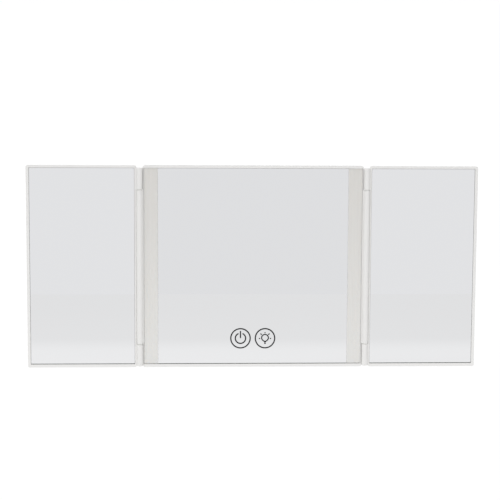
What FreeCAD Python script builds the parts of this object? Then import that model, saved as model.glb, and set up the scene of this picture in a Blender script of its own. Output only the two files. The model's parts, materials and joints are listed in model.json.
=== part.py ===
import FreeCAD, Part
import math
import os

# Tri-fold lighted make-up mirror, standing open on a table. Millimetres.
#
# Everything is drawn upright first, in the panel frame: X to the right, Y to the back, Z up,
# with the hinge axes in the plane y = 0 and the panels' lower edge at z = 0. At the end
# the whole mirror leans back on its stand, and its origin moves to the middle of its footprint.

# ---- driving dimensions -------------------------------------------------------------------
PANEL_HEIGHT = 230.0
CENTRE_WIDTH = 249.8
WING_WIDTH = 123.2
HINGE_GAP = 7.6            # between the centre panel's side and a wing's side
LEAN_DEGREES = 7.5         # how far the open mirror leans back
CORNER_RADIUS = 2.0

RIM = 0.3                  # the front lips lie this far behind the hinge axes
GLASS_FRONT = 1.2
GLASS_BACK = 3.2
TAPE_BACK = 4.0            # front of the tray floors
CENTRE_FLOOR_BACK = 5.4
CENTRE_FRAME_BACK = 7.3
CENTRE_BACK = 16.3
WING_FRAME_BACK = 5.3
WING_BACK = 8.3
SHELL_WALL = 2.0
UNDERSIDE_WALL = 4.0       # up to the hollow; the underside is cut level with the table
WING_WALL = 1.6
WING_RIB = 1.2
TAPE_WIDTH = 12.0
CENTRE_TAPE_X = (-90.0, -35.0, 35.0, 90.0)
CENTRE_TAPE_Z = (50.0, 215.0)
WING_TAPE_SPACING = 35.0
WING_TAPE_Z = (15.0, 215.0)

LIP_TOP = 2.8
LIP_BOTTOM = 3.6
LIP_WING_OUTER = 3.35
LIP_WING_INNER = 1.8
LIP_CENTRE_SIDE = 0.9
GLASS_GAP = 0.2            # open joint at a pane's sides and top
GLASS_SEAT_GAP = 0.5       # open joint under a pane
ARRIS = 0.1                # chamfer on a pane's front edges
PANE_CORNER = 0.8
EDGE_ROUND = 0.45          # front edges of the lips
REAR_ROUND = 1.9           # rear edges of the centre's shell
WING_REAR_ROUND = 1.5

BARREL_RADIUS = 3.5
BARREL_CHAMFER = 0.6
KNUCKLE_SPLIT_LOW = 26.7
KNUCKLE_SPLIT_HIGH = 202.7
KNUCKLE_BOTTOM = 1.5
KNUCKLE_TOP = 227.3
KNUCKLE_GAP = 0.6
WEB_DEPTH = 3.0            # how far back the webs between barrel and panel reach
STOP_DEPTH = 5.2           # back of the heel that stops a wing when it is flat
STOP_CLEARANCE = 0.1
NECK_HALF_WIDTH = 2.0      # joins a wing's barrel to its web
PIN_RADIUS = 1.25
RUNNING_CLEARANCE = 0.05
PIN_GRIP = 12.0            # length of pin pressed into the centre's knuckle
PIN_HEAD_RADIUS = 2.1
PIN_HEAD_HEIGHT = 1.0
WASHER_THICKNESS = 0.5

STRIP_INNER = 108.1        # light strip, from the middle of the panel
MIRROR_EDGE = 108.0
STRIP_JOINT_GAP = 0.3      # between a strip and the panel's side lip
RIB_INNER = 106.5
WINDOW_INNER = 110.5
WINDOW_OUTER = 120.5
WINDOW_MARGIN = 8.0
LED_COUNT = 24
LED_PITCH = 8.5
LED_SIZE = (2.8, 1.2, 3.5)
BOARD_THICKNESS = 1.2

TOUCH_HEIGHT = 33.0
TOUCH_SPACING = 28.1
TOUCH_PAD_RADIUS = 6.0

SCREW_X = 100.0
SCREW_Z = (12.0, 115.0, 218.0)
SCREW_BOSS_RADIUS = 3.0
SCREW_BOSS_BACK = 12.0
SCREW_RADIUS = 1.25
SCREW_PASSAGE = 1.4        # radius of the free hole under a screw's head
SCREW_CUP_RADIUS = 4.0
SCREW_HEAD_SEAT = 14.4
SCREW_HEAD = (2.4, 1.5)    # radius and height
SCREW_HEAD_ROOM = 0.2

CONTROL_X = 40.0
CONTROL_Z = (8.0, 36.0)
CONTROL_FRONT = 8.0
CONTROL_SCREW_X = 36.0
CONTROL_SCREW_Z = (12.0, 32.0)
BOARD_BOSS_RADIUS = 2.25
BOARD_SCREW_RADIUS = 0.9
BOARD_SCREW_HEAD = (1.8, 1.2)
TOUCH_BOARD_HALF = (26.0, 10.0)
USB_SIZE = (9.0, 3.2)
USB_Z = 18.0
INDICATOR_X = 9.0
LIGHT_PIPE_RADIUS = 1.0

BATTERY_HALF_WIDTH = 35.0
BATTERY_Z = (182.0, 216.0)
BATTERY_Y = (6.0, 12.0)
BATTERY_TAPE_HALF_WIDTH = 25.0
BATTERY_TAPE_Z = (190.0, 208.0)
LEAD_THICKNESS = 0.6
LEAD_X = (42.0, 45.0)
LEAD_FOOT_Z = (26.0, 29.0)
LEAD_HEAD_Z = (188.0, 192.0)
RIBBON_Z = (18.0, 21.0)
RIBBON_RISE_X = (45.4, 46.0)
LEAD_END_X = 38.0          # where both leads end on the control board

STAND_PIVOT_Y = 13.8
STAND_PIVOT_Z = 50.0
STAND_LENGTH = 111.0       # from the pivot to the end of the plate
STAND_HALF_WIDTH = 44.0
STAND_HALF_THICKNESS = 2.2
STAND_OPEN_DEGREES = 107.08
STAND_CORNER = 8.0
STAND_EDGE_ROUND = 0.8
STAND_POCKETS_X = ((-36.0, -13.0), (-11.5, 11.5), (13.0, 36.0))
STAND_POCKETS_Z = ((60.0, 103.0), (104.5, 148.0))
STAND_POCKET_DEPTH = 2.4
STAND_POCKET_CORNER = 2.0
RECESS_HALF_WIDTH = 45.0
RECESS_FLOOR = 11.3
RECESS_TOP = 164.5
RECESS_WALL = 1.6
SCOOP_HALF_WIDTH = 13.0    # finger scoop over the folded leg's tip
SCOOP_RISE = 7.0
SCOOP_OVERLAP = 10.0
SCOOP_CORNER = 4.0
LUG_LENGTH = 8.0
LUG_HALF_HEIGHT = 4.5
FOOT_PAD_HALF_WIDTH = 30.0
FOOT_PAD_LENGTH = 10.0
FOOT_PAD_SUNK = 0.8        # let into the leg's back
FOOT_PAD_PROUD = 1.6

TABLE_DROP = 1.0           # the table lies this far below the panels' front lower edge
FOOT_X = (70.0, 105.0)
FOOT_Y = (4.2, 15.3)

HEIGHT_MID = PANEL_HEIGHT / 2
CENTRE_HALF = CENTRE_WIDTH / 2
AXIS_X = CENTRE_HALF + HINGE_GAP / 2
WING_INNER = CENTRE_HALF + HINGE_GAP
WING_OUTER = WING_INNER + WING_WIDTH
GLASS_BOTTOM = LIP_BOTTOM + GLASS_SEAT_GAP
GLASS_TOP = PANEL_HEIGHT - LIP_TOP - GLASS_GAP
SIDES = {"left": -1, "right": 1}


# ---- helpers ------------------------------------------------------------------------------
def point(x, y, z):
    return FreeCAD.Vector(x, y, z)


def block(xs, ys, zs):
    """A box between two limits on each axis, given in either order."""
    (x0, x1), (y0, y1), (z0, z1) = sorted(xs), sorted(ys), sorted(zs)
    return Part.makeBox(x1 - x0, y1 - y0, z1 - z0, point(x0, y0, z0))


def rod(radius, start, end):
    """A round bar between two points."""
    run = end - start
    return Part.makeCylinder(radius, run.Length, start, run)


def runs_back(edge):
    ends = edge.Vertexes
    return abs(ends[0].Y - ends[1].Y) > 1e-6


def lies_at_y(edge, y):
    return edge.BoundBox.YLength < 1e-6 and abs(edge.BoundBox.YMin - y) < 1e-6


def rounded_plate(xs, ys, zs, radius):
    """A box with its four corners rounded as seen from the front."""
    plate = block(xs, ys, zs)
    return plate.makeFillet(radius, [edge for edge in plate.Edges if runs_back(edge)])


def centre_plate(y0, y1):
    """A plate of the centre's outline, whose underside is level once the mirror leans."""
    slope = math.tan(math.radians(LEAN_DEGREES))
    section = [(y0, y0 * slope), (y1, y1 * slope), (y1, PANEL_HEIGHT), (y0, PANEL_HEIGHT)]
    corners = [point(-CENTRE_HALF, y, z) for y, z in section]
    outline = Part.makePolygon(corners + corners[:1])
    plate = Part.Face(outline).extrude(point(CENTRE_WIDTH, 0, 0))
    return plate.makeFillet(CORNER_RADIUS, [edge for edge in plate.Edges if runs_back(edge)])


def soften(shape, y, radius):
    """Rounds every edge that lies in the plane at this depth."""
    return shape.makeFillet(radius, [edge for edge in shape.Edges if lies_at_y(edge, y)])


def joined(pieces):
    """One solid from pieces that touch or cross."""
    whole = pieces[0]
    for piece in pieces[1:]:
        whole = whole.fuse(piece)
    return whole.removeSplitter()


def cut_all(shape, tools):
    for tool in tools:
        shape = shape.cut(tool)
    return shape


def group(pieces):
    """Separate solids that share one node."""
    return Part.makeCompound(pieces)


def turned(shape, degrees, y=0.0, z=0.0):
    """A copy turned about an axis along X: a positive angle lifts the back."""
    copy = shape.copy()
    copy.rotate(point(0, y, z), point(1, 0, 0), degrees)
    return copy


def level_slab(upper, lower):
    """A slab between two heights over the foot of the hinge axes, level once the mirror leans."""
    return turned(block((-300, 300), (-60, 300), (lower, upper)), LEAN_DEGREES)


# ---- hinges -------------------------------------------------------------------------------
def knuckle_spans():
    """Heights of a wing's two short knuckles, lower then upper."""
    lower = (KNUCKLE_BOTTOM, KNUCKLE_SPLIT_LOW - KNUCKLE_GAP / 2)
    upper = (KNUCKLE_SPLIT_HIGH + KNUCKLE_GAP / 2, KNUCKLE_TOP)
    return lower, upper


def barrel(side, span):
    """A knuckle's round barrel, with its two ends slightly chamfered."""
    axis = side * AXIS_X
    bar = rod(BARREL_RADIUS, point(axis, 0, span[0]), point(axis, 0, span[1]))
    ends = [edge for edge in bar.Edges if edge.BoundBox.ZLength < 1e-6]
    return bar.makeChamfer(BARREL_CHAMFER, ends)


def centre_knuckle(side):
    """The centre's long knuckle and the web that carries it."""
    gap = KNUCKLE_GAP / 2
    span = (KNUCKLE_SPLIT_LOW + gap, KNUCKLE_SPLIT_HIGH - gap)
    axis = side * AXIS_X
    web = block((axis, side * (CENTRE_HALF - 0.5)), (RIM, WEB_DEPTH), span)
    return joined([barrel(side, span), web])


def wing_knuckles(side):
    """A wing's two short knuckles, each with its web and the heel that stops it when flat."""
    axis = side * AXIS_X
    heel_end = side * (CENTRE_HALF + STOP_CLEARANCE)
    pieces = []
    for span in knuckle_spans():
        web = block((axis, side * (WING_INNER + 0.5)), (RIM, WEB_DEPTH), span)
        heel = block((heel_end, side * (WING_INNER + 0.5)), (WEB_DEPTH, STOP_DEPTH), span)
        bar = barrel(side, span)
        neck_x = (axis - NECK_HALF_WIDTH, axis + NECK_HALF_WIDTH)
        neck = block(neck_x, (0, WEB_DEPTH), span)
        pieces.append(joined([bar, web, neck, heel]))
    return pieces


def pin_bore(side, radius, span):
    axis = side * AXIS_X
    return rod(radius, point(axis, 0, span[0]), point(axis, 0, span[1]))


def pin_span(upper):
    """Where a hinge pin's shank begins inside the centre and where its head ends."""
    if upper:
        return KNUCKLE_SPLIT_HIGH - PIN_GRIP, KNUCKLE_TOP - 0.3
    return KNUCKLE_SPLIT_LOW + PIN_GRIP, KNUCKLE_BOTTOM + 0.3


def hinge_pin(side, upper):
    """A steel pin, its head let into the end of the wing's knuckle."""
    inner, outer = pin_span(upper)
    shoulder = outer - PIN_HEAD_HEIGHT if upper else outer + PIN_HEAD_HEIGHT
    axis = side * AXIS_X
    shank = rod(PIN_RADIUS, point(axis, 0, inner), point(axis, 0, outer))
    head = rod(PIN_HEAD_RADIUS, point(axis, 0, shoulder), point(axis, 0, outer))
    return joined([shank, head])


def wing_bores(side):
    """Running bores for both pins, with a counterbore for each head."""
    bores = []
    for upper in (False, True):
        inner, outer = pin_span(upper)
        step = 1 if upper else -1
        bores.append(pin_bore(side, PIN_RADIUS + RUNNING_CLEARANCE, (inner, outer + 5 * step)))
        shoulder = outer - step * (PIN_HEAD_HEIGHT + 0.1)
        bores.append(pin_bore(side, PIN_HEAD_RADIUS + 0.1, (shoulder, outer + 5 * step)))
    return bores


def centre_bores(side):
    """Blind bores that grip the pins."""
    bores = []
    for upper in (False, True):
        inner, outer = pin_span(upper)
        bores.append(pin_bore(side, PIN_RADIUS, (inner, outer)))
    return bores


def hinge_washers():
    """Thin acetal washers between the knuckles."""
    washers = []
    for side in SIDES.values():
        for split in (KNUCKLE_SPLIT_LOW, KNUCKLE_SPLIT_HIGH):
            span = (split - WASHER_THICKNESS / 2, split + WASHER_THICKNESS / 2)
            disc = pin_bore(side, BARREL_RADIUS - 0.35, span)
            washers.append(disc.cut(pin_bore(side, PIN_RADIUS + 0.02, span)))
    return group(washers)


# ---- centre panel -------------------------------------------------------------------------
def screw_places():
    return [(side * SCREW_X, z) for side in SIDES.values() for z in SCREW_Z]


def board_screw_places():
    return [(side * CONTROL_SCREW_X, z) for side in SIDES.values() for z in CONTROL_SCREW_Z]


def boss(place, radius, bore, ys):
    """A post with a screw bore that opens at its back."""
    x, z = place
    post = rod(radius, point(x, ys[0], z), point(x, ys[1], z))
    hole = rod(bore, point(x, ys[0] + 1, z), point(x, ys[1] + 1, z))
    return post, hole


def centre_frame():
    """The front tray: lips, floor with two light windows, bosses and the long knuckles."""
    zs = (0, PANEL_HEIGHT)
    half = CENTRE_HALF
    body = soften(centre_plate(RIM, CENTRE_FRAME_BACK), RIM, EDGE_ROUND)
    lips = (LIP_BOTTOM, PANEL_HEIGHT - LIP_TOP)
    inner = half - LIP_CENTRE_SIDE
    body = body.cut(block((-inner, inner), (RIM - 1, TAPE_BACK), lips))
    back = half - SHELL_WALL
    back_z = (UNDERSIDE_WALL, PANEL_HEIGHT - SHELL_WALL)
    body = body.cut(block((-back, back), (CENTRE_FLOOR_BACK, CENTRE_FRAME_BACK + 1), back_z))
    extra = []
    cuts = []
    for side in SIDES.values():
        extra.append(block((side * RIB_INNER, side * WINDOW_INNER), (GLASS_BACK, TAPE_BACK), lips))
        extra.append(block((side * WINDOW_OUTER, side * inner), (GLASS_BACK, TAPE_BACK), lips))
        window_z = (WINDOW_MARGIN, PANEL_HEIGHT - WINDOW_MARGIN)
        window_y = (GLASS_BACK - 1, CENTRE_FLOOR_BACK + 1)
        cuts.append(block((side * WINDOW_INNER, side * WINDOW_OUTER), window_y, window_z))
        extra.append(centre_knuckle(side))
        cuts += centre_bores(side)
        touch = point(side * TOUCH_SPACING / 2, TAPE_BACK - 1, TOUCH_HEIGHT)
        cuts.append(rod(TOUCH_PAD_RADIUS + 0.5, touch, touch + point(0, 4, 0)))
    for place in screw_places():
        post, hole = boss(place, SCREW_BOSS_RADIUS, SCREW_RADIUS,
                          (CENTRE_FLOOR_BACK - 0.5, SCREW_BOSS_BACK))
        extra.append(post)
        cuts.append(hole.cut(block((-half, half), (0, CENTRE_FLOOR_BACK + 1.5), zs)))
    for place in board_screw_places():
        post, hole = boss(place, BOARD_BOSS_RADIUS, BOARD_SCREW_RADIUS,
                          (CENTRE_FLOOR_BACK - 0.5, CONTROL_FRONT))
        extra.append(post)
        cuts.append(hole)
    return cut_all(joined([body] + extra), cuts)


def stand_stop_height():
    """Height of the recess's lower wall: the open leg's underside rests on its back edge."""
    angle = math.radians(STAND_OPEN_DEGREES)
    drop = STAND_HALF_THICKNESS
    foot_y = STAND_PIVOT_Y + drop * math.cos(angle)
    run = (CENTRE_BACK - foot_y) / math.sin(angle)
    return STAND_PIVOT_Z - drop * math.sin(angle) + run * math.cos(angle) - 0.05


def usb_hole(margin, ys):
    half_x = USB_SIZE[0] / 2 + margin
    half_z = USB_SIZE[1] / 2 + margin
    radius = half_z - 0.05
    return rounded_plate((-half_x, half_x), ys, (USB_Z - half_z, USB_Z + half_z), radius)


def centre_back_cover():
    """The rear shell with the stand's recess, its pin lugs, screw cups and the socket's hole."""
    body = soften(centre_plate(CENTRE_FRAME_BACK, CENTRE_BACK), CENTRE_BACK, REAR_ROUND)
    inner = CENTRE_HALF - SHELL_WALL
    inner_y = (CENTRE_FRAME_BACK - 1, CENTRE_BACK - SHELL_WALL)
    body = body.cut(block((-inner, inner), inner_y, (UNDERSIDE_WALL, PANEL_HEIGHT - SHELL_WALL)))
    bottom = stand_stop_height()
    wall = RECESS_WALL
    tub_x = RECESS_HALF_WIDTH + wall
    tub_y = (RECESS_FLOOR - wall, CENTRE_BACK - SHELL_WALL)
    extra = [block((-tub_x, tub_x), tub_y, (bottom - wall, RECESS_TOP + wall))]
    scoop_x = SCOOP_HALF_WIDTH
    scoop_z = (RECESS_TOP - SCOOP_OVERLAP, RECESS_TOP + SCOOP_RISE)
    scoop_tub_z = (RECESS_TOP, scoop_z[1] + wall)
    extra.append(block((-scoop_x - wall, scoop_x + wall), tub_y, scoop_tub_z))
    scoop_y = (RECESS_FLOOR + 0.5, CENTRE_BACK + 1)
    cuts = [rounded_plate((-scoop_x, scoop_x), scoop_y, scoop_z, SCOOP_CORNER)]
    recess_y = (RECESS_FLOOR, CENTRE_BACK + 1)
    cuts.append(block((-RECESS_HALF_WIDTH, RECESS_HALF_WIDTH), recess_y, (bottom, RECESS_TOP)))
    for side in SIDES.values():
        lug_x = (side * RECESS_HALF_WIDTH, side * (RECESS_HALF_WIDTH + LUG_LENGTH))
        lug_z = (STAND_PIVOT_Z - LUG_HALF_HEIGHT, STAND_PIVOT_Z + LUG_HALF_HEIGHT)
        extra.append(block(lug_x, (RECESS_FLOOR - wall, CENTRE_BACK - 1), lug_z))
    pin_end = RECESS_HALF_WIDTH + LUG_LENGTH - 2
    pivot = point(0, STAND_PIVOT_Y, STAND_PIVOT_Z)
    cuts.append(rod(PIN_RADIUS, pivot - point(pin_end, 0, 0), pivot + point(pin_end, 0, 0)))
    for x, z in screw_places():
        mouth = point(x, CENTRE_BACK + 1, z)
        cup = rod(SCREW_CUP_RADIUS, point(x, SCREW_BOSS_BACK, z), point(x, CENTRE_BACK - 1, z))
        extra.append(cup)
        cuts.append(rod(SCREW_PASSAGE, point(x, SCREW_BOSS_BACK - 1, z), mouth))
        cuts.append(rod(SCREW_HEAD[0] + SCREW_HEAD_ROOM, point(x, SCREW_HEAD_SEAT, z), mouth))
    cuts.append(usb_hole(0.2, (CENTRE_BACK - SHELL_WALL - 1, CENTRE_BACK + 1)))
    pipe = point(INDICATOR_X, CENTRE_BACK - SHELL_WALL - 1, USB_Z)
    cuts.append(rod(LIGHT_PIPE_RADIUS + RUNNING_CLEARANCE, pipe, pipe + point(0, 4, 0)))
    return cut_all(joined([body] + extra), cuts)


def screw(place, head, seat, shank_radius, tip):
    """A pan-head screw driven from the back, with a cross recess."""
    x, z = place
    head_radius, head_height = head
    shank = rod(shank_radius, point(x, tip, z), point(x, seat, z))
    head = rod(head_radius, point(x, seat, z), point(x, seat + head_height, z))
    head = soften(head, seat + head_height, 0.4)
    slot = head_radius * 0.6
    depth = (seat + head_height * 0.35, seat + head_height + 1)
    across = block((x - slot, x + slot), depth, (z - 0.3, z + 0.3))
    upright = block((x - 0.3, x + 0.3), depth, (z - slot, z + slot))
    return joined([shank, head]).cut(across).cut(upright)


def cover_screws():
    tip = CENTRE_FLOOR_BACK + 2
    return group([screw(place, SCREW_HEAD, SCREW_HEAD_SEAT, SCREW_RADIUS, tip)
                  for place in screw_places()])


def mirror_pane(xs):
    """A pane of glass with its front arrises just broken."""
    zs = (GLASS_BOTTOM, GLASS_TOP)
    pane = rounded_plate(xs, (GLASS_FRONT, GLASS_BACK), zs, PANE_CORNER)
    arrises = [edge for edge in pane.Edges if lies_at_y(edge, GLASS_FRONT)]
    return pane.makeChamfer(ARRIS, arrises)


def tape_strips(centres, zs):
    """Upright strips of mounting tape."""
    half = TAPE_WIDTH / 2
    return group([block((x - half, x + half), (GLASS_BACK, TAPE_BACK), zs) for x in centres])


def light_diffuser(side):
    """An opal strip, flush with the mirror glass."""
    outer = CENTRE_HALF - LIP_CENTRE_SIDE - STRIP_JOINT_GAP
    return mirror_pane(sorted((side * STRIP_INNER, side * outer)))


def led_board(side):
    xs = (side * (WINDOW_INNER - 1.3), side * (WINDOW_OUTER + 1.3))
    ys = (CENTRE_FLOOR_BACK, CENTRE_FLOOR_BACK + BOARD_THICKNESS)
    return block(xs, ys, (WINDOW_MARGIN + 2, PANEL_HEIGHT - WINDOW_MARGIN - 2))


def leds(side):
    """A column of chips on the board's front, standing in the tray's light window."""
    middle = side * (WINDOW_INNER + WINDOW_OUTER) / 2
    half_x = LED_SIZE[0] / 2
    half_z = LED_SIZE[2] / 2
    ys = (CENTRE_FLOOR_BACK - LED_SIZE[1], CENTRE_FLOOR_BACK)
    first = HEIGHT_MID - LED_PITCH * (LED_COUNT - 1) / 2
    heights = [first + LED_PITCH * index for index in range(LED_COUNT)]
    return group([block((middle - half_x, middle + half_x), ys, (z - half_z, z + half_z))
                  for z in heights])


def led_ribbon(side):
    """A flat lead along the tray floor, stepping up onto the control board's back."""
    floor = CENTRE_FLOOR_BACK
    board_back = CONTROL_FRONT + BOARD_THICKNESS
    foot, heel = side * RIBBON_RISE_X[0], side * RIBBON_RISE_X[1]
    along = block((side * (WINDOW_INNER - 1.3), foot), (floor, floor + LEAD_THICKNESS), RIBBON_Z)
    rise = block((foot, heel), (floor, board_back + LEAD_THICKNESS), RIBBON_Z)
    over = block((heel, side * LEAD_END_X), (board_back, board_back + LEAD_THICKNESS), RIBBON_Z)
    return joined([along, rise, over])


def battery_leads():
    """A flat lead from the cell's side down to the control board."""
    floor = CENTRE_FLOOR_BACK
    board_back = CONTROL_FRONT + BOARD_THICKNESS
    outer = LEAD_X[1]
    run_z = (LEAD_FOOT_Z[0], LEAD_HEAD_Z[1])
    down = block(LEAD_X, (floor, floor + LEAD_THICKNESS), run_z)
    head_y = (floor + LEAD_THICKNESS, floor + 2)
    to_cell = block((BATTERY_HALF_WIDTH, outer), head_y, LEAD_HEAD_Z)
    rise = block(LEAD_X, (floor, board_back + LEAD_THICKNESS), LEAD_FOOT_Z)
    over = block((LEAD_END_X, outer), (board_back, board_back + LEAD_THICKNESS), LEAD_FOOT_Z)
    return joined([down, to_cell, rise, over])


def touch_board():
    ys = (CENTRE_FLOOR_BACK, CENTRE_FLOOR_BACK + BOARD_THICKNESS)
    half_x, half_z = TOUCH_BOARD_HALF
    return block((-half_x, half_x), ys, (TOUCH_HEIGHT - half_z, TOUCH_HEIGHT + half_z))


def touch_pads():
    """Conductive rubber pads that reach from the touch board to the back of the glass."""
    pads = []
    for side in SIDES.values():
        x = side * TOUCH_SPACING / 2
        front = point(x, GLASS_BACK, TOUCH_HEIGHT)
        pads.append(rod(TOUCH_PAD_RADIUS, front, point(x, CENTRE_FLOOR_BACK, TOUCH_HEIGHT)))
    return group(pads)


def touch_connector():
    front = CENTRE_FLOOR_BACK + BOARD_THICKNESS
    return block((-4, 4), (front, CONTROL_FRONT), (29, 33))


def control_board():
    ys = (CONTROL_FRONT, CONTROL_FRONT + BOARD_THICKNESS)
    board = block((-CONTROL_X, CONTROL_X), ys, CONTROL_Z)
    holes = [rod(1.1, point(x, ys[0] - 1, z), point(x, ys[1] + 1, z))
             for x, z in board_screw_places()]
    return cut_all(board, holes)


def board_components():
    """The charger chip, the inductor, two capacitors and the lead connectors."""
    back = CONTROL_FRONT + BOARD_THICKNESS
    chip = block((-20, -14), (back, back + 1.0), (20, 26))
    inductor = rounded_plate((-30, -24), (back, back + 2.6), (12, 18), 1.2)
    capacitors = [block((x, x + 2), (back, back + 1.2), (12, 15.2)) for x in (-20, -16)]
    connectors = [block((x, x + 7), (back, back + 3.4), (28.5, 33.5)) for x in (-26, 16)]
    return group([chip, inductor] + capacitors + connectors)


def board_screws():
    seat = CONTROL_FRONT + BOARD_THICKNESS
    return group([screw(place, BOARD_SCREW_HEAD, seat, BOARD_SCREW_RADIUS, CENTRE_FLOOR_BACK + 1)
                  for place in board_screw_places()])


def usb_socket():
    """The charging socket's metal shell, with its tongue."""
    front = CONTROL_FRONT + BOARD_THICKNESS
    shell = usb_hole(0, (front, CENTRE_BACK - 0.3))
    hollow = usb_hole(-0.35, (front + 1, CENTRE_BACK + 1))
    tongue = block((-3.3, 3.3), (front + 0.5, CENTRE_BACK - 1), (USB_Z - 0.35, USB_Z + 0.35))
    return joined([shell.cut(hollow), tongue])


def charge_light_pipe():
    start = point(INDICATOR_X, CONTROL_FRONT + BOARD_THICKNESS, USB_Z)
    return rod(LIGHT_PIPE_RADIUS, start, point(INDICATOR_X, CENTRE_BACK, USB_Z))


def battery_cell():
    xs = (-BATTERY_HALF_WIDTH, BATTERY_HALF_WIDTH)
    return rounded_plate(xs, BATTERY_Y, BATTERY_Z, 2.0)


def battery_tape():
    xs = (-BATTERY_TAPE_HALF_WIDTH, BATTERY_TAPE_HALF_WIDTH)
    return block(xs, (CENTRE_FLOOR_BACK, BATTERY_Y[0]), BATTERY_TAPE_Z)


def centre_feet():
    """Two flat rubber pads between the level underside and the table."""
    space = level_slab(0, -TABLE_DROP)
    return group([block((side * FOOT_X[0], side * FOOT_X[1]), FOOT_Y, (-6, 6)).common(space)
                  for side in SIDES.values()])


# ---- wings --------------------------------------------------------------------------------
def wing_frame(side):
    """A wing's front tray with its two short knuckles."""
    xs = (side * WING_INNER, side * WING_OUTER)
    body = rounded_plate(xs, (RIM, WING_FRAME_BACK), (0, PANEL_HEIGHT), CORNER_RADIUS)
    body = soften(body, RIM, EDGE_ROUND)
    pocket_x = (side * (WING_INNER + LIP_WING_INNER), side * (WING_OUTER - LIP_WING_OUTER))
    lips = (LIP_BOTTOM, PANEL_HEIGHT - LIP_TOP)
    body = body.cut(block(pocket_x, (RIM - 1, TAPE_BACK), lips))
    return cut_all(joined([body] + wing_knuckles(side)), wing_bores(side))


def wing_back_cover(side):
    """A shallow rear shell with two upright and four level ribs."""
    xs = sorted((side * WING_INNER, side * WING_OUTER))
    zs = (0, PANEL_HEIGHT)
    body = rounded_plate(xs, (WING_FRAME_BACK, WING_BACK), zs, CORNER_RADIUS)
    body = soften(body, WING_BACK, WING_REAR_ROUND)
    inner_x = (xs[0] + WING_WALL, xs[1] - WING_WALL)
    inner_z = (WING_WALL, PANEL_HEIGHT - WING_WALL)
    hollow_y = (WING_FRAME_BACK - 1, WING_BACK - WING_WALL)
    body = body.cut(block(inner_x, hollow_y, inner_z))
    ribs = []
    rib_y = (WING_FRAME_BACK, WING_BACK - WING_WALL / 2)
    for third in (1, 2):
        x = xs[0] + WING_WIDTH * third / 3
        ribs.append(block((x - WING_RIB / 2, x + WING_RIB / 2), rib_y, inner_z))
    for fifth in (1, 2, 3, 4):
        z = PANEL_HEIGHT * fifth / 5
        ribs.append(block(inner_x, rib_y, (z - WING_RIB / 2, z + WING_RIB / 2)))
    return joined([body] + ribs)


def wing_mirror_glass(side):
    inner = WING_INNER + LIP_WING_INNER + GLASS_GAP
    outer = WING_OUTER - LIP_WING_OUTER - GLASS_GAP
    return mirror_pane(sorted((side * inner, side * outer)))


def wing_mirror_tape(side):
    middle = side * (WING_INNER + WING_OUTER) / 2
    step = WING_TAPE_SPACING
    return tape_strips((middle - step, middle, middle + step), WING_TAPE_Z)


# ---- stand --------------------------------------------------------------------------------
def stand_pin():
    end = RECESS_HALF_WIDTH + LUG_LENGTH - 2
    pivot = point(0, STAND_PIVOT_Y, STAND_PIVOT_Z)
    return rod(PIN_RADIUS, pivot - point(end, 0, 0), pivot + point(end, 0, 0))


def foot_pad_block():
    """The rubber pad's outer shape on the folded leg, before the table plane trims it."""
    back = STAND_PIVOT_Y + STAND_HALF_THICKNESS
    ys = (back - FOOT_PAD_SUNK, back + FOOT_PAD_PROUD)
    top = STAND_PIVOT_Z + STAND_LENGTH + 1
    xs = (-FOOT_PAD_HALF_WIDTH, FOOT_PAD_HALF_WIDTH)
    return block(xs, ys, (top - FOOT_PAD_LENGTH, top))


def stand_leg():
    """The plate leg, drawn folded up in its recess and then swung open."""
    ys = (STAND_PIVOT_Y - STAND_HALF_THICKNESS, STAND_PIVOT_Y + STAND_HALF_THICKNESS)
    xs = (-STAND_HALF_WIDTH, STAND_HALF_WIDTH)
    end = STAND_PIVOT_Z + STAND_LENGTH
    plate = rounded_plate(xs, ys, (STAND_PIVOT_Z - 12, end), STAND_CORNER)
    plate = soften(plate, ys[1], STAND_EDGE_ROUND)
    plate = plate.cut(block((-60, 60), (0, 30), (0, STAND_PIVOT_Z)))
    pivot = point(0, STAND_PIVOT_Y, STAND_PIVOT_Z)
    side = point(STAND_HALF_WIDTH, 0, 0)
    hub = rod(STAND_HALF_THICKNESS, pivot - side, pivot + side)
    pocket_y = (ys[0] - 1, ys[0] + STAND_POCKET_DEPTH)
    pockets = [rounded_plate(pocket_x, pocket_y, pocket_z, STAND_POCKET_CORNER)
               for pocket_x in STAND_POCKETS_X for pocket_z in STAND_POCKETS_Z]
    bore = rod(PIN_RADIUS + RUNNING_CLEARANCE, pivot - side * 2, pivot + side * 2)
    leg = cut_all(joined([plate, hub]), pockets + [bore, foot_pad_block()])
    return turned(leg, -STAND_OPEN_DEGREES, STAND_PIVOT_Y, STAND_PIVOT_Z)


def stand_foot_pad():
    """A rubber strip on the leg's tip, cut level with the table."""
    pad = turned(foot_pad_block(), -STAND_OPEN_DEGREES, STAND_PIVOT_Y, STAND_PIVOT_Z)
    return pad.cut(level_slab(-TABLE_DROP, -90))


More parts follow.
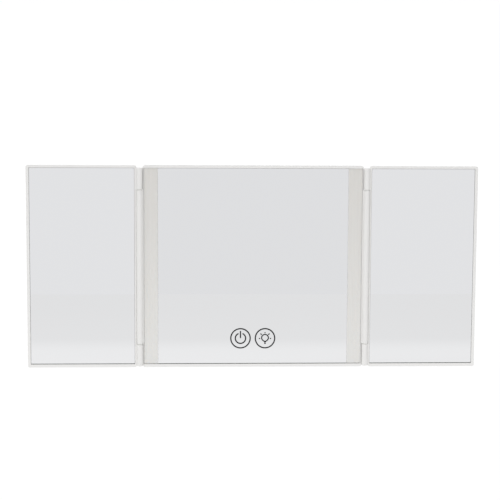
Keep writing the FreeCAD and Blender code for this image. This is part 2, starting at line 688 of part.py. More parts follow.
# ---- assembly -----------------------------------------------------------------------------
def all_parts():
    parts = {
        "centre_frame": centre_frame(),
        "centre_back_cover": centre_back_cover(),
        "centre_mirror_glass": mirror_pane((-MIRROR_EDGE, MIRROR_EDGE)),
        "centre_mirror_tape": tape_strips(CENTRE_TAPE_X, CENTRE_TAPE_Z),
        "touch_board": touch_board(),
        "touch_pads": touch_pads(),
        "touch_connector": touch_connector(),
        "control_board": control_board(),
        "board_components": board_components(),
        "board_screws": board_screws(),
        "usb_socket": usb_socket(),
        "charge_light_pipe": charge_light_pipe(),
        "battery_cell": battery_cell(),
        "battery_tape": battery_tape(),
        "battery_leads": battery_leads(),
        "cover_screws": cover_screws(),
        "centre_feet": centre_feet(),
        "hinge_washers": hinge_washers(),
        "stand_pin": stand_pin(),
        "stand_leg": stand_leg(),
        "stand_foot_pad": stand_foot_pad(),
    }
    for name, side in SIDES.items():
        parts["light_diffuser_" + name] = light_diffuser(side)
        parts["led_board_" + name] = led_board(side)
        parts["leds_" + name] = leds(side)
        parts["led_ribbon_" + name] = led_ribbon(side)
        parts[name + "_hinge_pin_upper"] = hinge_pin(side, True)
        parts[name + "_hinge_pin_lower"] = hinge_pin(side, False)
        parts[name + "_wing_frame"] = wing_frame(side)
        parts[name + "_wing_back_cover"] = wing_back_cover(side)
        parts[name + "_wing_mirror_glass"] = wing_mirror_glass(side)
        parts[name + "_wing_mirror_tape"] = wing_mirror_tape(side)
    return parts


def lean_back(parts):
    """Leans every piece back and stands the mirror on z = 0, centred on its footprint."""
    for shape in parts.values():
        shape.rotate(point(0, 0, 0), point(1, 0, 0), -LEAN_DEGREES)
    boxes = [shape.optimalBoundingBox(False) for shape in parts.values()]
    front = min(box.YMin for box in boxes)
    back = max(box.YMax for box in boxes)
    move = point(0, -(front + back) / 2, TABLE_DROP)
    for shape in parts.values():
        shape.translate(move)
    return move


def panel_to_world(y, z, move):
    """Where a point of the panel frame stands once the mirror leans back."""
    lean = math.radians(LEAN_DEGREES)
    return (y * math.cos(lean) + z * math.sin(lean) + move.y,
            z * math.cos(lean) - y * math.sin(lean) + move.z)


def main():
    parts = all_parts()
    move = lean_back(parts)
    os.makedirs("parts", exist_ok=True)
    for name, shape in parts.items():
        solids = len(shape.Solids)
        print(f"{name:26s} solids {solids:3d}  volume {shape.Volume:10.1f}  valid {shape.isValid()}")
        shape.exportStep(os.path.join("parts", name + ".step"))
    print("wing hinges pass through y, z:", panel_to_world(0, HEIGHT_MID, move))
    print("stand pivot y, z:", panel_to_world(STAND_PIVOT_Y, STAND_PIVOT_Z, move))


main()
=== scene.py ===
# %% [markdown]
# A tri-fold make-up mirror, standing open on a table. The centre panel holds a mirror between two
# opal light strips and two printed touch marks. A mirrored wing hangs on each side, and a plate
# leg behind the centre holds the whole mirror at a slight lean.
#
# The solid parts come from the imported model, which never moves here. This lesson gives each of
# them the finish of its real material, adds the ribbed light strips and the printed marks as new
# surfaces, and sets up a plain studio.

# %% Load the imported model
import json
import math

import bpy
import numpy as np
from mathutils import Matrix, Vector


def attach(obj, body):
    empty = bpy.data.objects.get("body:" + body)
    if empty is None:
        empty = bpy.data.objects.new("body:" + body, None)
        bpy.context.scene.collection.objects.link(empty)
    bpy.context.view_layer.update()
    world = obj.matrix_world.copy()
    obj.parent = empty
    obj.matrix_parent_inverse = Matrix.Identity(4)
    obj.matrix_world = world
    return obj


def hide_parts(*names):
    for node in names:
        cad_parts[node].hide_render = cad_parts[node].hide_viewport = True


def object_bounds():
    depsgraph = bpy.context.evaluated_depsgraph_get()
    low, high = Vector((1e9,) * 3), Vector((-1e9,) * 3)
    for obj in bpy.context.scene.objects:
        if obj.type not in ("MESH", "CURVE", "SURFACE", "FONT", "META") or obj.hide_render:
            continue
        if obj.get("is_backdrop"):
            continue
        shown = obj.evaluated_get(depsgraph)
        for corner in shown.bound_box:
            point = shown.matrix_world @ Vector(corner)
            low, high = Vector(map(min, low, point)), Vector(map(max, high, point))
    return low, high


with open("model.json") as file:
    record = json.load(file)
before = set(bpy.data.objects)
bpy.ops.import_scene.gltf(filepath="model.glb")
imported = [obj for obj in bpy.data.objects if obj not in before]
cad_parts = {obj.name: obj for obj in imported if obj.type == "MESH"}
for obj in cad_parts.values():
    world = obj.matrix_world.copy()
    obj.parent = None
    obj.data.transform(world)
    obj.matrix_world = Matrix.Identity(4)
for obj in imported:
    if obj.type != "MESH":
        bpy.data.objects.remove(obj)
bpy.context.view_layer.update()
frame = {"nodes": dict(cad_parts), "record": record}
joints = {joint["name"]: joint for joint in frame["record"]["behaviour"]["joints"]}
slots = {row["node"]: row["material_slot"] for row in frame["record"]["subparts"]}
MM = 0.001

# %% [markdown]
# The mirror leans back, so its edges don't follow the world's axes. Everything flat on it is
# easier to describe in a frame of its own: x to the right, y to the back, z up along the panel,
# starting at the panel's lower edge in the plane of the hinge axes. The hinge axis itself gives
# the lean.

# %% The panel frame
RIGHT = np.array([1.0, 0.0, 0.0])
UP = np.array(joints["left_wing_hinge"]["axis"])
BACK = np.cross(UP, RIGHT)
LEAN = math.atan2(UP[1], UP[2])


def node_points(node):
    """A node's vertices, in the world, as an array of rows."""
    mesh = frame["nodes"][node].data
    points = np.empty(len(mesh.vertices) * 3)
    mesh.vertices.foreach_get("co", points)
    return points.reshape(-1, 3)


hinge_point = np.array(joints["left_wing_hinge"]["pos_m"]) * (0, 1, 1)
lowest = ((node_points("left_wing_frame") - hinge_point) @ UP).min()
ORIGIN = hinge_point + UP * lowest


def panel_box(node):
    """The lowest and highest corner of a node, measured in the panel frame."""
    local = (node_points(node) - ORIGIN) @ np.stack([RIGHT, BACK, UP], axis=1)
    return local.min(axis=0), local.max(axis=0)


def to_world(local):
    """World points from panel points: the origin plus x, y and z steps along the three axes."""
    return ORIGIN + np.asarray(local) @ np.stack([RIGHT, BACK, UP])


frame_low, frame_high = panel_box("left_wing_frame")
PANEL_HEIGHT = frame_high[2] - frame_low[2]
print(f"lean {math.degrees(LEAN):.2f} degrees, panel height {PANEL_HEIGHT / MM:.1f} mm")

# %% [markdown]
# The camera stands a little above the mirrors' own line of sight and slightly to the left. It is
# well over a metre off with a short telephoto lens, which keeps upright edges nearly parallel. It
# aims just above the middle of the panel, and it is a fraction of a degree out of level.

# %% Camera
CAMERA_DISTANCE = 1.40
CAMERA_TURN = math.radians(-2.79)
CAMERA_RISE = math.radians(13.92)
CAMERA_ROLL = math.radians(0.63)
CAMERA_LENS = 88.64
AIM_DEPTH = 0.3 * MM
AIM_OFFSET = Vector((-3.8, 0.0, 20.0)) * MM

panel_middle = Vector(to_world([0.0, AIM_DEPTH, PANEL_HEIGHT / 2]))
away = Vector((math.sin(CAMERA_TURN) * math.cos(CAMERA_RISE),
               -math.cos(CAMERA_TURN) * math.cos(CAMERA_RISE),
               math.sin(CAMERA_RISE)))
camera_place = panel_middle + away * CAMERA_DISTANCE
backward = (camera_place - panel_middle - AIM_OFFSET).normalized()
level = Vector((0, 0, 1)).cross(backward).normalized()
upward = backward.cross(level)
side = level * math.cos(CAMERA_ROLL) + upward * math.sin(CAMERA_ROLL)
top = upward * math.cos(CAMERA_ROLL) - level * math.sin(CAMERA_ROLL)

camera = bpy.data.objects.new("camera", bpy.data.cameras.new("camera"))
bpy.context.scene.collection.objects.link(camera)
camera.data.lens = CAMERA_LENS
camera.data.sensor_width = 36.0
turn = Matrix((side, top, backward)).transposed().to_4x4()
camera.matrix_world = Matrix.Translation(camera_place) @ turn
bpy.context.scene.camera = camera
print("camera at", [round(v, 3) for v in camera_place])

# %% [markdown]
# A material is a small network of shader nodes. One helper adds a node: its keyword settings are
# the node's own properties, and each input is either a plain value or the socket that feeds it.
# Colours are written the way a paint chart gives them, in sRGB, and one function turns them into
# the linear values that the renderer adds up.

# %% Helpers for materials
def linear(chart_colour):
    """Linear red, green, blue and alpha from an sRGB hex colour."""
    parts = [int(chart_colour[i:i + 2], 16) / 255 for i in (1, 3, 5)]
    curve = [c / 12.92 if c <= 0.04045 else ((c + 0.055) / 1.055) ** 2.4 for c in parts]
    return (*curve, 1.0)


def add(tree, kind, inputs=None, **settings):
    """Adds one node with its settings; inputs maps a socket to a value or to another socket."""
    node = tree.nodes.new(kind)
    for name, value in settings.items():
        setattr(node, name, value)
    for key, value in (inputs or {}).items():
        if isinstance(value, bpy.types.NodeSocket):
            tree.links.new(value, node.inputs[key])
        else:
            node.inputs[key].default_value = value
    return node


def start(name, **values):
    """A new material with one Principled shader, whose even values are set on its own sockets."""
    material = bpy.data.materials.new(name)
    material.use_nodes = True
    tree = material.node_tree
    tree.nodes.clear()
    shader = add(tree, "ShaderNodeBsdfPrincipled")
    for socket, value in values.items():
        shader.inputs[socket.replace("_", " ")].default_value = value
    add(tree, "ShaderNodeOutputMaterial", {"Surface": shader.outputs[0]})
    return material, tree, shader


def grain(tree, size, detail=2.0, stretch=(1.0, 1.0, 1.0)):
    """Noise on Object coordinates whose blotches are about size metres across."""
    place = add(tree, "ShaderNodeTexCoord").outputs["Object"]
    scaled = add(tree, "ShaderNodeMapping", {"Vector": place, "Scale": stretch})
    return add(tree, "ShaderNodeTexNoise",
               {"Vector": scaled.outputs[0], "Scale": 1.0 / size, "Detail": detail}).outputs[0]


def relief(tree, shader, height, depth, edge=0.0, strength=1.0):
    """Bump of a real depth in metres, over edges that are softened by a radius if one is given."""
    inputs = {"Height": height, "Distance": depth, "Strength": strength}
    if edge:
        inputs["Normal"] = add(tree, "ShaderNodeBevel", {"Radius": edge}, samples=6).outputs[0]
    bump = add(tree, "ShaderNodeBump", inputs)
    tree.links.new(bump.outputs[0], shader.inputs["Normal"])


# %% [markdown]
# The casings are moulded ABS, an opaque plastic that is naturally warm white. The mould is
# spark-eroded, which leaves a fine, even grain of about a third of a millimetre: the eye reads it
# as a soft satin instead of a polish. The grain is drawn at twice its real size, because the real
# one is too fine to show in a render. Real moulded edges are never knife sharp, so a bevel
# in the shading rounds each one by a quarter of a millimetre.

# %% Moulded ABS
ABS_GRAIN = 0.7 * MM
ABS_GRAIN_DEPTH = 0.012 * MM
ABS_FLOW = 55 * MM
ABS_EDGE = 0.25 * MM


def moulded_abs():
    """Sparks of relief under a gloss that wanders slowly with the plastic's flow."""
    material, tree, shader = start("white_moulded_abs", Base_Color=linear("#ECEBE9"), IOR=1.54)
    sparks = grain(tree, ABS_GRAIN)
    flow = grain(tree, ABS_FLOW, detail=3.0)
    satin = add(tree, "ShaderNodeMapRange", {"Value": flow, "To Min": 0.36, "To Max": 0.46})
    tree.links.new(satin.outputs[0], shader.inputs["Roughness"])
    relief(tree, shader, sparks, ABS_GRAIN_DEPTH, edge=ABS_EDGE)
    return material


finishes = {"white_abs": moulded_abs()}
print(finishes["white_abs"].name, "of", len(finishes["white_abs"].node_tree.nodes), "nodes")

# %% [markdown]
# A household mirror is float glass with silver on its back. Only its face mirrors: the ground
# edge of the pane is bare glass, a dull dark green. The same dull green is painted on a hair's
# breadth of the face along its lower edge, as painted shade where the tray's lower groove
# shades it. The mask between the two measures a point's depth behind the face and its height
# over the lower edge, in the panel frame, and keeps the larger share.

# %% Silvered glass
FACE_DEPTH = 0.15 * MM
EDGE_DEPTH = 0.25 * MM
# Height of the band of painted shade along the pane's lower edge.
GROOVE_SHADE_HEIGHT = 0.22 * MM
SILVER = (0.800, 0.803, 0.812, 1.0)


def panel_place(tree):
    """Object coordinates turned into the panel frame by a Mapping node."""
    turned = Matrix.Rotation(LEAN, 3, "X")
    shift = -(turned @ Vector(ORIGIN))
    place = add(tree, "ShaderNodeTexCoord").outputs["Object"]
    mapped = add(tree, "ShaderNodeMapping",
                 {"Vector": place, "Location": shift, "Rotation": (LEAN, 0.0, 0.0)})
    return add(tree, "ShaderNodeSeparateXYZ", {0: mapped.outputs[0]}).outputs


def silvered_glass(node):
    """Silver on the face, ground glass behind it, and painted shade in a thin band along the lower
    groove.
    """
    low = panel_box(node)[0]
    material, tree, shader = start("silvered_glass_" + node)
    place = panel_place(tree)
    behind = add(tree, "ShaderNodeMapRange",
                 {"Value": place[1], "From Min": low[1] + FACE_DEPTH,
                  "From Max": low[1] + EDGE_DEPTH}).outputs[0]
    # Painted shade: a thin band of the face along the lower edge is made dull dark green and
    # unsilvered, for the shade in the tray's groove.
    below = add(tree, "ShaderNodeMath", {0: place[2], 1: low[2] + GROOVE_SHADE_HEIGHT},
                operation="LESS_THAN").outputs[0]
    bare_edge_and_groove_shade = add(tree, "ShaderNodeMath", {0: behind, 1: below}, operation="MAXIMUM").outputs[0]
    colour = add(tree, "ShaderNodeMix", {0: bare_edge_and_groove_shade, 6: SILVER, 7: linear("#6E7A74")},
                 data_type="RGBA")
    tree.links.new(colour.outputs[2], shader.inputs["Base Color"])
    metal = add(tree, "ShaderNodeMapRange", {"Value": bare_edge_and_groove_shade, "To Min": 1.0, "To Max": 0.0})
    tree.links.new(metal.outputs[0], shader.inputs["Metallic"])
    polish = add(tree, "ShaderNodeMapRange", {"Value": bare_edge_and_groove_shade, "To Min": 0.01, "To Max": 0.4})
    tree.links.new(polish.outputs[0], shader.inputs["Roughness"])
    return material


panes = {node: silvered_glass(node) for node, slot in slots.items() if slot == "silvered_glass"}
print("silvered panes:", len(panes))

# %% [markdown]
# The light strips are opal acrylic: clear plastic clouded with fine white powder, extruded with
# shallow upright ribs and matt on its face, so that the lamps behind it never show as dots. Its
# colour is painted a little lighter towards the foot and darker towards the top: painted light,
# standing in for the glow of the table below. Unlit, it is a slightly warm grey beside the bluer
# mirrors, with faint upright streaks from the die. A little light enters it and comes out again
# nearby, which the subsurface weight gives.

# %% Opal acrylic
STREAK = 1.4 * MM
# Painted light: the heights over which the strip's colour passes from the lighter foot to the darker
# top.
PAINTED_UNDERLIGHT_SPAN = (0.1 * PANEL_HEIGHT, 0.9 * PANEL_HEIGHT)


def opal_acrylic():
    """Painted light that darkens with height, as if the table below lit the foot, multiplied by
    upright streaks.
    """
    material, tree, shader = start("opal_acrylic", IOR=1.49, Roughness=0.55,
                                   Subsurface_Weight=0.25, Subsurface_Scale=1.5 * MM,
                                   Subsurface_Radius=(1.0, 0.9, 0.8))
    height = panel_place(tree)[2]
    rise = add(tree, "ShaderNodeMapRange",
               {"Value": height, "From Min": PAINTED_UNDERLIGHT_SPAN[0], "From Max": PAINTED_UNDERLIGHT_SPAN[1]})
    # Painted light: the lighter colour at the foot and the darker one at the top stand in for the
    # table's glow from below.
    painted_underlight = add(tree, "ShaderNodeMix",
                {0: rise.outputs[0], 6: linear("#E5E4E1"), 7: linear("#DEDCD8")},
                data_type="RGBA")
    die_lines = grain(tree, STREAK, detail=3.0, stretch=(1.0, 0.02, 0.02))
    streaks = add(tree, "ShaderNodeMapRange", {"Value": die_lines, "To Min": 0.96, "To Max": 1.03})
    colour = add(tree, "ShaderNodeMix", {0: 1.0, 6: painted_underlight.outputs[2], 7: streaks.outputs[0]},
                 data_type="RGBA", blend_type="MULTIPLY")
    tree.links.new(colour.outputs[2], shader.inputs["Base Color"])
    return material


finishes["opal_acrylic"] = opal_acrylic()
print(finishes["opal_acrylic"].name, "of", len(finishes["opal_acrylic"].node_tree.nodes), "nodes")

# %% [markdown]
# The small parts need less. Most of them are hidden inside the casing, so one function serves for
# all: two close colours mixed by noise of a real size, and a little relief from the same noise.
# Each call starts from the common material, whose name and look the comment above it gives.

# %% The other finishes
def speckled(name, dark, light, size, rough, depth, **values):
    """Two close colours mixed by noise, with a little relief: enough for a plain moulding."""
    material, tree, shader = start(name, **values)
    spots = grain(tree, size)
    colour = add(tree, "ShaderNodeMix", {0: spots, 6: linear(dark), 7: linear(light)},
                 data_type="RGBA")
    tree.links.new(colour.outputs[2], shader.inputs["Base Color"])
    gloss = add(tree, "ShaderNodeMapRange",
                {"Value": spots, "To Min": rough * 0.9, "To Max": rough * 1.1})
    tree.links.new(gloss.outputs[0], shader.inputs["Roughness"])
    relief(tree, shader, spots, depth)
    return material


finishes |= {
    # Foam tape: open cells about half a millimetre across.
    "foam_tape": speckled("foam_tape", "#CFCFC8", "#DEDED8", 0.5 * MM, 0.9, 0.05 * MM),
    # White solder mask over woven glass and epoxy.
    "circuit_board": speckled("white_solder_mask", "#DDE0DA", "#E8EAE5", 1.2 * MM, 0.35, 0.01 * MM),
    # Yellow phosphor gel in a lamp package.
    "led_package": speckled("phosphor_gel", "#E3C548", "#EDD56A", 0.4 * MM, 0.25, 0.01 * MM),
    # Flat flexible cable: drawn copper under a clear film.
    "flat_cable": speckled("flat_cable", "#B4BDC8", "#CBD2DA", 0.6 * MM, 0.3, 0.01 * MM),
    # Carbon-filled silicone.
    "conductive_rubber": speckled("carbon_silicone", "#161616", "#232323", 0.4 * MM, 0.75, 0.02 * MM),
    # Moulded black epoxy of chips and sockets.
    "dark_component": speckled("black_epoxy", "#101011", "#1C1C1E", 0.3 * MM, 0.45, 0.01 * MM),
    # Zinc plate on steel: a bright, slightly cloudy metal.
    "zinc_steel": speckled("zinc_plate", "#B9BCC0", "#CDD0D3", 0.8 * MM, 0.32, 0.005 * MM,
                           Metallic=1.0),
    # Drawn stainless steel.
    "pin_steel": speckled("drawn_steel", "#B2B3B5", "#C4C5C7", 0.5 * MM, 0.25, 0.005 * MM,
                          Metallic=1.0),
    # Clear acrylic light pipe.
    "clear_acrylic": speckled("clear_acrylic", "#DDE3E3", "#E9EEEE", 1.0 * MM, 0.12, 0.002 * MM,
                              IOR=1.49),
    # Aluminium foil of a pouch cell.
    "cell_foil": speckled("pouch_foil", "#AEB1B6", "#C3C6CA", 2.0 * MM, 0.35, 0.03 * MM,
                          Metallic=1.0),
    # Natural acetal, a waxy white.
    "acetal": speckled("acetal", "#DEDEDA", "#E6E6E2", 0.6 * MM, 0.4, 0.005 * MM, IOR=1.48),
    # Soft white silicone rubber.
    "white_rubber": speckled("white_silicone", "#D2D1CC", "#DDDCD8", 0.5 * MM, 0.8, 0.02 * MM),
}

for node, piece in frame["nodes"].items():
    piece.data.materials.clear()
    piece.data.materials.append(panes[node] if node in panes else finishes[slots[node]])
print("finishes:", len(finishes) + len(panes), "on", len(frame["nodes"]), "nodes")

# %% [markdown]
# New pieces are surfaces worked out with numpy. The usual form here is a section carried along a
# path: a grid of points with one row for each station of the path and one column for each corner
# of the section. The grid closes round the section, and both its ends get a face, so the mesh is
# a closed solid with its faces outwards.

# %% Helpers for meshes
def solid_from_rows(rows, closed_path=False):
    """World points and faces of a closed solid, from rows of section points along a path.

    rows has the shape (stations, corners, 3). Face (i, j) joins station i to i + 1 and corner j
    to j + 1, the corners wrapping round. An open path gets one flat face at each end.
    """
    stations, corners = rows.shape[:2]
    count = stations if closed_path else stations - 1
    i, j = np.meshgrid(np.arange(count), np.arange(corners), indexing="ij")
    after_i, after_j = (i + 1) % stations, (j + 1) % corners
    quads = np.stack([i * corners + j, i * corners + after_j,
                      after_i * corners + after_j, after_i * corners + j], axis=-1)
    faces = quads.reshape(-1, 4).tolist()
    if not closed_path:
        faces.append(list(range(corners))[::-1])
        faces.append(list(range((stations - 1) * corners, stations * corners)))
    return to_world(rows.reshape(-1, 3)), faces


def piece_from_solids(name, solids, finish, body):
    """One object from several solids, riding on a body: each one's faces are numbered on."""
    faces = []
    start_at = 0
    for points, solid_faces in solids:
        faces += [[start_at + index for index in face] for face in solid_faces]
        start_at += len(points)
    piece = bpy.data.objects.new(name, bpy.data.meshes.new(name))
    all_points = np.concatenate([points for points, _ in solids])
    piece.data.from_pydata(all_points.tolist(), [], faces)
    piece.data.materials.append(finish)
    bpy.context.scene.collection.objects.link(piece)
    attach(piece, body)
    return piece


# %% [markdown]
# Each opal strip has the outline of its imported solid, a tenth of a millimetre wider so that its
# joints close up, but its front carries shallow rounded ribs about a millimetre and a half apart.
# The section runs round the strip: along the back, up one side, across the ribbed front and down
# the other side.

# %% Ribbed light strips
RIB_PITCH = 1.55 * MM
RIB_HEIGHT = 0.10 * MM
POINTS_PER_RIB = 8
STRIP_STATIONS = 24
JOINT_CLOSING = np.array([0.08, 0.0, 0.0]) * MM


def strip_section(low, high):
    """The strip's section in x and y: a flat back, and a front that waves like one cosine per rib."""
    width = high[0] - low[0]
    ribs = round(width / RIB_PITCH)
    along = np.linspace(0.0, 1.0, ribs * POINTS_PER_RIB + 1)
    front_x = low[0] + width * along
    front_y = low[1] + RIB_HEIGHT * (0.5 - 0.5 * np.cos(2 * np.pi * ribs * along))
    front = np.stack([front_x, front_y], axis=1)
    back = np.array([[high[0], high[1]], [low[0], high[1]]])
    return np.concatenate([front, back])


for side_name in ("left", "right"):
    node = "light_diffuser_" + side_name
    low, high = panel_box(node)
    section = strip_section(low - JOINT_CLOSING, high + JOINT_CLOSING)
    heights = np.linspace(low[2], high[2], STRIP_STATIONS)
    rows = np.empty((len(heights), len(section), 3))
    rows[:, :, :2] = section
    rows[:, :, 2] = heights[:, None]
    strip = piece_from_solids("ribbed_light_strip_" + side_name, [solid_from_rows(rows)],
                              finishes["opal_acrylic"], "centre")
    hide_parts(node)
    print(strip.name, "faces", len(strip.data.polygons))

# %% [markdown]
# The two touch marks are screen-printed on the glass in dark grey ink: a ring round a power sign,
# and a ring round a lamp with five rays. Each line of the drawing is a stroke: a flat ribbon of
# even width that follows a path, with round ends, and just thick enough to stand on the glass. A
# curve object could do it too, but a ribbon of points keeps its width and its ends exact.

# %% Strokes of ink
INK_THICKNESS = 0.03 * MM
BLUNT_TIP = 0.002 * MM      # keeps the last station of a stroke from closing to a point
END_STATIONS = 7


def stroke(path, width, closed=False):
    """A ribbon of ink along a path in x and z, given in metres from the mark's middle.

    Each station is the path's point plus and minus half the width along the normal. At the ends
    of an open path the half width shrinks like a half circle: the root of w * w - d * d, where d
    is how far the station lies inside the last half width.
    """
    half = width / 2
    if not closed:
        run = np.linalg.norm(np.diff(path, axis=0), axis=1)
        length = run.sum()
        place = np.concatenate([[0.0], np.cumsum(run)])
        ends = half * (1 - np.cos(np.linspace(0.0, np.pi / 2, END_STATIONS)))
        middle = np.linspace(half, length - half, max(2, len(path)))
        stations = np.concatenate([ends[:-1], middle, length - ends[-2::-1]])
        path = np.stack([np.interp(stations, place, path[:, k]) for k in (0, 1)], axis=1)
        inside = np.clip(half - np.minimum(stations, length - stations), 0.0, half)
        halves = np.sqrt(half ** 2 - inside ** 2)[:, None] + BLUNT_TIP
        along = np.gradient(path, axis=0)
    else:
        halves = np.full((len(path), 1), half)
        along = np.roll(path, -1, axis=0) - np.roll(path, 1, axis=0)
    along = along / np.linalg.norm(along, axis=1, keepdims=True)
    normal = np.stack([-along[:, 1], along[:, 0]], axis=1)
    left, right = path + normal * halves, path - normal * halves
    rows = np.empty((len(path), 4, 3))
    rows[:, :, 0] = np.stack([left[:, 0], right[:, 0], right[:, 0], left[:, 0]], axis=1)
    rows[:, :, 2] = np.stack([left[:, 1], right[:, 1], right[:, 1], left[:, 1]], axis=1)
    rows[:, :, 1] = np.array([0.0, 0.0, 1.0, 1.0]) * INK_THICKNESS
    return rows


trial = stroke(np.array([[0.0, 0.0], [10.0, 0.0]]) * MM, 2 * MM)
print("a straight stroke of 10 mm has", len(trial), "stations of", trial.shape[1], "corners")

# %% [markdown]
# The paths of both signs are arcs, circles, short straight lines and one lamp outline, all
# measured from the middle of their ring. The power sign is an arc that is open at the top with an
# upright line in its gap. The lamp has a bulb, two lines for its cap and five rays.

# %% Paths of the two signs
STROKE_WIDTH = 1.5 * MM
RING_RADIUS = 11.1 * MM
BULB_RISE = 0.45 * MM
ARC_POINTS = 49
CIRCLE_END = 352.5          # degrees; the closing face spans the 7.5 degrees that are left


def arc(radius, start_degrees, end_degrees):
    """Points on a circle round the mark's middle, measured anticlockwise from the right."""
    angles = np.radians(np.linspace(start_degrees, end_degrees, ARC_POINTS))
    return radius * np.stack([np.cos(angles), np.sin(angles)], axis=1)


def circle(radius):
    """A closed path, whose last point stops short of its first."""
    return arc(radius, 0, CIRCLE_END)


def bulb(radius, fall):
    """A lamp's outline: a circle whose lower half is drawn down to a blunt point.

    At the angle a the upper half is radius * (cos(a), sin(a)). The lower half is
    (radius * cos(a) * (1 - sin(a)**2 / 4), fall * sin(a)). The whole stands BULB_RISE higher.
    """
    round_path = circle(1.0)
    width, height = round_path[:, 0], round_path[:, 1]
    below = np.minimum(height, 0.0)
    return np.stack([radius * width * (1 - 0.25 * below ** 2),
                     np.where(height < 0, fall, radius) * height + BULB_RISE], axis=1)


def line(x0, z0, x1, z1):
    """A straight path between two points, given in millimetres from the mark's middle."""
    return np.array([[x0, z0], [x1, z1]]) * MM


ring = (circle(RING_RADIUS), STROKE_WIDTH, True)
power_sign = [ring, (arc(5.9 * MM, 111, 429), STROKE_WIDTH, False),
              (line(0, 0.0, 0, 8.6), 1.45 * MM, False)]
lamp_sign = [ring,
             (bulb(3.9 * MM, 4.1 * MM), 1.35 * MM, True),
             (line(-1.0, -4.6, 1.0, -4.6), 1.0 * MM, False),
             (line(-1.0, -6.0, 1.0, -6.0), 1.3 * MM, False),
             (line(0, 5.6, 0, 7.05), 1.4 * MM, False)]
for way in (-1, 1):
    lamp_sign.append((line(way * 3.5, 3.9, way * 5.3, 5.5), 1.35 * MM, False))
    lamp_sign.append((line(way * 5.5, -0.25, way * 7.1, -0.25), 1.5 * MM, False))
print("strokes in the power sign:", len(power_sign), "and in the lamp sign:", len(lamp_sign))

# %% [markdown]
# Screen ink is pigment in a matt binder, squeezed through a mesh. It dries to a thin even film
# with hardly any gloss, which gives the eye crisp near-black lines beside the bright mirror. The
# film stands a hair clear of the glass, so that the two faces never fight for the same place.

# %% Screen ink and the printed marks
INK_GRAIN = 0.5 * MM
INK_RELIEF = 0.004 * MM
INK_GAP = 0.006 * MM
TOUCH_SPACING = 28.1 * MM
TOUCH_HEIGHT = 33.0 * MM

ink, ink_tree, ink_shader = start("dark_grey_screen_ink", Base_Color=linear("#1C1C1E"), IOR=1.35)
ink_film = grain(ink_tree, INK_GRAIN)
ink_matt = add(ink_tree, "ShaderNodeMapRange", {"Value": ink_film, "To Min": 0.5, "To Max": 0.6})
ink_tree.links.new(ink_matt.outputs[0], ink_shader.inputs["Roughness"])
relief(ink_tree, ink_shader, ink_film, INK_RELIEF)

ink_front = panel_box("centre_mirror_glass")[0][1] - INK_GAP - INK_THICKNESS
for name, way, drawing in (("power", -0.5, power_sign), ("lamp", 0.5, lamp_sign)):
    place = np.array([way * TOUCH_SPACING, ink_front, TOUCH_HEIGHT])
    solids = [solid_from_rows(stroke(path, width, closed) + place, closed)
              for path, width, closed in drawing]
    mark = piece_from_solids("touch_mark_" + name, solids, ink, "centre")
    print(mark.name, "strokes", len(drawing), "faces", len(mark.data.polygons))

# %% [markdown]
# The studio is a light table: a wide sheet of opal acrylic lit from below, so things on it throw
# hardly any shadow. The sheet is a flat disc of rings, so wide that its rim lies within about a
# degree of the camera's horizon.

# %% Light table
TABLE_RADIUS = 25.0
SPOKES = 96

angles = np.linspace(0.0, 2 * np.pi, SPOKES, endpoint=False)
rim = np.stack([np.cos(angles), np.sin(angles), np.zeros(SPOKES)], axis=1)
radii = np.array([0.5, 1.5, 4.0, TABLE_RADIUS])
table_points = np.concatenate([np.zeros((1, 3)), (radii[:, None, None] * rim).reshape(-1, 3)])
spoke = np.arange(SPOKES)
after = (spoke + 1) % SPOKES
inner = 1 + SPOKES * np.arange(len(radii) - 1)[:, None]
outer = inner + SPOKES
middle_faces = np.stack([0 * spoke, 1 + spoke, 1 + after], axis=-1)
ring_faces = np.stack([inner + spoke, outer + spoke, outer + after, inner + after], axis=-1)
table_mesh = bpy.data.meshes.new("light_table")
table_mesh.from_pydata(table_points.tolist(), [],
                       middle_faces.tolist() + ring_faces.reshape(-1, 4).tolist())
table = bpy.data.objects.new("light_table", table_mesh)
bpy.context.scene.collection.objects.link(table)
print("light table", TABLE_RADIUS, "m in radius, faces", len(table_mesh.polygons))

# %% [markdown]
# The lamps under the acrylic lie in a fan that widens away from the mirror to the front and to the
# back, and they are a little weaker at the front. A point's place in the fan is |x| - slope |y|,
# which is nought or less inside it. Two soft steps are multiplied: one across the fan, and one
# from front to back.

# %% Glow of the light table
GLOW, FRONT_GLOW = 0.951, 0.876
FRONT_FADE = (-0.95, -0.40)
FAN_SLOPE = 0.30
FAN_FADE = (0.33, 0.80)
SIDE_GLOW = 0.55            # glow outside the fan, as a share of the glow inside


def fade(tree, value, span, first, last):
    """Light that passes softly from first to last while the value crosses the span."""
    inputs = {"Value": value, "From Min": span[0], "From Max": span[1], "To Min": first,
              "To Max": last}
    return add(tree, "ShaderNodeMapRange", inputs, interpolation_type="SMOOTHSTEP").outputs[0]


def shares(tree, *values):
    """What is left of a light after several shares: all the values multiplied, in order."""
    left = values[0]
    for value in values[1:]:
        left = add(tree, "ShaderNodeMath", {0: left, 1: value}, operation="MULTIPLY").outputs[0]
    return left


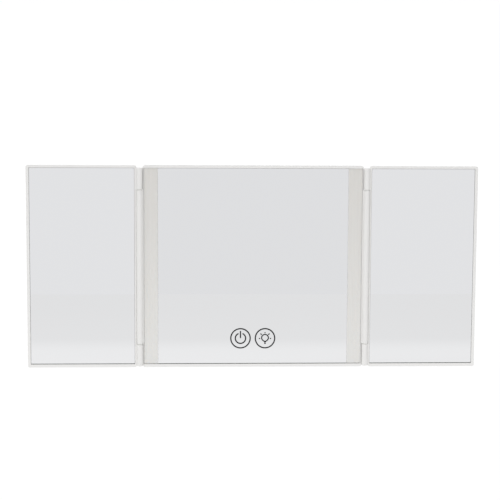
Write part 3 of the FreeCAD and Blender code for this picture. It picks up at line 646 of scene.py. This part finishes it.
acrylic, table_tree, table_shader = start("back_lit_acrylic", Base_Color=linear("#505050"),
                                          Emission_Color=(1.0, 1.0, 1.0, 1.0), Roughness=0.9,
                                          Specular_IOR_Level=0.0)
place = add(table_tree, "ShaderNodeSeparateXYZ",
            {0: add(table_tree, "ShaderNodeTexCoord").outputs["Object"]})
across = add(table_tree, "ShaderNodeMath", {0: place.outputs[0]}, operation="ABSOLUTE")
along = add(table_tree, "ShaderNodeMath", {0: place.outputs[1]}, operation="ABSOLUTE")
fan = add(table_tree, "ShaderNodeMath",
          {0: along.outputs[0], 1: -FAN_SLOPE, 2: across.outputs[0]}, operation="MULTIPLY_ADD")
glow = shares(table_tree, fade(table_tree, fan.outputs[0], FAN_FADE, 1.0, SIDE_GLOW),
              fade(table_tree, place.outputs[1], FRONT_FADE, FRONT_GLOW, GLOW))
table_tree.links.new(glow, table_shader.inputs["Emission Strength"])
table.data.materials.append(acrylic)
table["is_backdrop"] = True
print("table glow", GLOW, "at the back and", FRONT_GLOW, "at the front")

# %% [markdown]
# Round the table is a room with plain pale walls and a white ceiling. It could be modelled, but a
# world shader that shades each direction is simpler and casts no stray shadow. The mirrors show
# its front wall, which is never quite white, and a pale grey screen about ten degrees wide stands
# where the centre mirror shows it. The back wall falls off to dark above the horizon and a grey
# curtain hangs along the right side, so that a white casing has a lit side and a shaded one.

# %% Room
FRONT_WALL, BACK_WALL, HORIZON, CEILING = 0.95, 0.16, 0.75, 0.95
CURTAIN = 0.70
SCREEN = 0.963              # how much of the wall's light the screen sends back
WALL_COLOUR = (0.997, 1.0, 1.008, 1.0)
# Where each soft step begins and ends, as x, y or z of a direction of length one.
SCREEN_SIDES = ((-0.049, -0.031), (0.127, 0.144))
SCREEN_FADE = (-0.9, -0.8)
REAR_FADE = (0.0, 0.40)
FRONT_TO_BACK = (-0.8, 0.3)
CEILING_FADE = (0.50, 0.90)
CURTAIN_FADE = (0.30, 0.90)

world = bpy.data.worlds.new("studio")
bpy.context.scene.world = world
world.use_nodes = True
room = world.node_tree
room.nodes.clear()
x_way, y_way, z_way = add(room, "ShaderNodeSeparateXYZ",
                          {0: add(room, "ShaderNodeTexCoord").outputs["Generated"]}).outputs
rear = fade(room, z_way, REAR_FADE, HORIZON, BACK_WALL)
wall = add(room, "ShaderNodeMapRange",
           {"Value": fade(room, y_way, FRONT_TO_BACK, 0.0, 1.0), "To Min": FRONT_WALL,
            "To Max": rear})
above = add(room, "ShaderNodeMapRange",
            {"Value": fade(room, z_way, CEILING_FADE, 0.0, 1.0), "To Min": wall.outputs[0],
             "To Max": CEILING})
curtain = fade(room, x_way, CURTAIN_FADE, 1.0, CURTAIN)
in_screen = shares(room, fade(room, x_way, SCREEN_SIDES[0], 0.0, 1.0),
                   fade(room, x_way, SCREEN_SIDES[1], 1.0, 0.0),
                   fade(room, y_way, SCREEN_FADE, 1.0, 0.0))
screen = add(room, "ShaderNodeMapRange", {"Value": in_screen, "To Min": 1.0, "To Max": SCREEN})
light = shares(room, above.outputs[0], curtain, screen.outputs[0])
walls = add(room, "ShaderNodeBackground", {"Color": WALL_COLOUR, "Strength": light})
add(room, "ShaderNodeOutputWorld", {"Surface": walls.outputs[0]})
print("room of", len(room.nodes), "nodes")

# %% [markdown]
# Three soft lamps help the room. Each is a square area lamp, because a large source gives soft
# shadows. The one behind is smaller and brighter and stands well to the side, to draw out the
# back's relief.

# %% Lamps
def soft_lamp(name, place, target, size, watts):
    """A square area lamp that faces a target."""
    data = bpy.data.lights.new(name, "AREA")
    data.shape, data.size, data.energy = "SQUARE", size, watts
    lamp = bpy.data.objects.new(name, data)
    lamp.location = place
    lamp.rotation_euler = (Vector(target) - Vector(place)).to_track_quat("-Z", "Y").to_euler()
    bpy.context.scene.collection.objects.link(lamp)


soft_lamp("overhead_lamp", (0.0, 0.2, 2.4), (0.0, 0.0, 0.0), 1.6, 5.0)
soft_lamp("front_left_lamp", (-1.6, -1.5, 1.9), (0.0, 0.0, 0.1), 1.0, 4.0)
soft_lamp("rear_left_lamp", (-1.9, 0.8, 1.0), (0.0, 0.0, 0.1), 0.4, 16.0)
bpy.context.scene.view_settings.view_transform = "Standard"
print("lamps:", len(bpy.data.lights))

# %% [markdown]
# The size of everything shown, the table left out, is measured at the end and printed.

# %% Print the visual size
low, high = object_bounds()
print("visual size in mm:", [round(v / MM, 1) for v in high - low])
